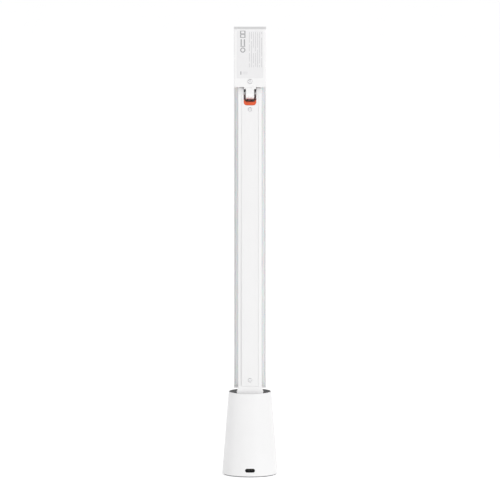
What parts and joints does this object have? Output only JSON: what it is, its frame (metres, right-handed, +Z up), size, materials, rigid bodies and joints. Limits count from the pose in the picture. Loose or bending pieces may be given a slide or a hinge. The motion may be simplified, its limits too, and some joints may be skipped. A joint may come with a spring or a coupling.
{
  "type": "folding led light bar lamp",
  "caption": "Slim white rechargeable light bar folded against a flat arm on a weighted cone base; the bar swings out to a level light.",
  "frame": {"origin": "middle of the underside, on the surface that the lamp stands on", "axes": "+Z up; -Y towards the charging socket, the arm's screws and the hinge slot; the head swings out towards +Y"},
  "size_m": [0.0518, 0.0518, 0.42],
  "materials": {
    "white_shell": "fine satin moulded white",
    "arm_white": "satin white",
    "label_face": "satin light grey white with faint printed lines",
    "black_gloss": "gloss black",
    "black_plastic": "satin black",
    "grey_rubber": "soft matt grey",
    "orange_liner": "matt orange red silicone",
    "diffuser": "frosted translucent",
    "reflector": "bright white",
    "steel": "bright zinc plated",
    "spring_steel": "ground",
    "cast_iron": "as cast, dark",
    "circuit_board": "green solder mask",
    "white_board": "white solder mask",
    "chip": "moulded black",
    "led_phosphor": "yellow phosphor",
    "cell_sleeve": "shrink sleeve",
    "nickel": "rolled nickel",
    "foam": "closed cell foam",
    "clear_lens": "clear light pipe",
    "ribbon": "amber film",
    "wire_red": "soft insulation",
    "painted_tongue": "white satin paint on die casting"
  },
  "bodies": {
    "base": {"arm_cover": "arm_white", "arm_screws": "steel", "arm_shell": "arm_white", "arm_spine": "spring_steel", "arm_wires": "wire_red", "base_bottom_cover": "white_shell", "base_cover_screws": "steel", "base_shell": "white_shell", "battery_cell": "cell_sleeve", "board_components": "chip", "board_screws": "steel", "bracket_screws": "steel", "cell_pad": "foam", "cell_tabs": "nickel", "counterweight": "cast_iron", "deck_screws": "steel", "foot_pad": "grey_rubber", "foot_screws": "steel", "hinge_bracket": "spring_steel", "indicator_lenses": "clear_lens", "main_board": "circuit_board", "sensor_ribbon": "ribbon", "slot_liner": "orange_liner", "spine_screws": "steel", "touch_panel": "black_gloss", "touch_sensor_board": "circuit_board", "usb_c_socket": "black_plastic"},
    "head": {"head_housing": "white_shell", "end_cap": "white_shell", "tail_cover": "label_face", "tail_screw": "steel", "hinge_tongue": "painted_tongue", "tongue_screws": "steel", "hinge_pin": "spring_steel", "friction_washers": "spring_steel", "hinge_nut": "steel", "diffuser": "diffuser", "reflector": "reflector", "led_board": "white_board", "led_chips": "led_phosphor", "driver_board": "circuit_board", "driver_components": "chip", "driver_screws": "steel", "head_wires": "wire_red"}
  },
  "joints": [
    {"name": "head_fold", "type": "hinge", "parent": "base", "child": "head", "pos_m": [0, -0.0086, 0.3593], "axis": [1, 0, 0], "range_deg": [0, 90]}
  ]
}
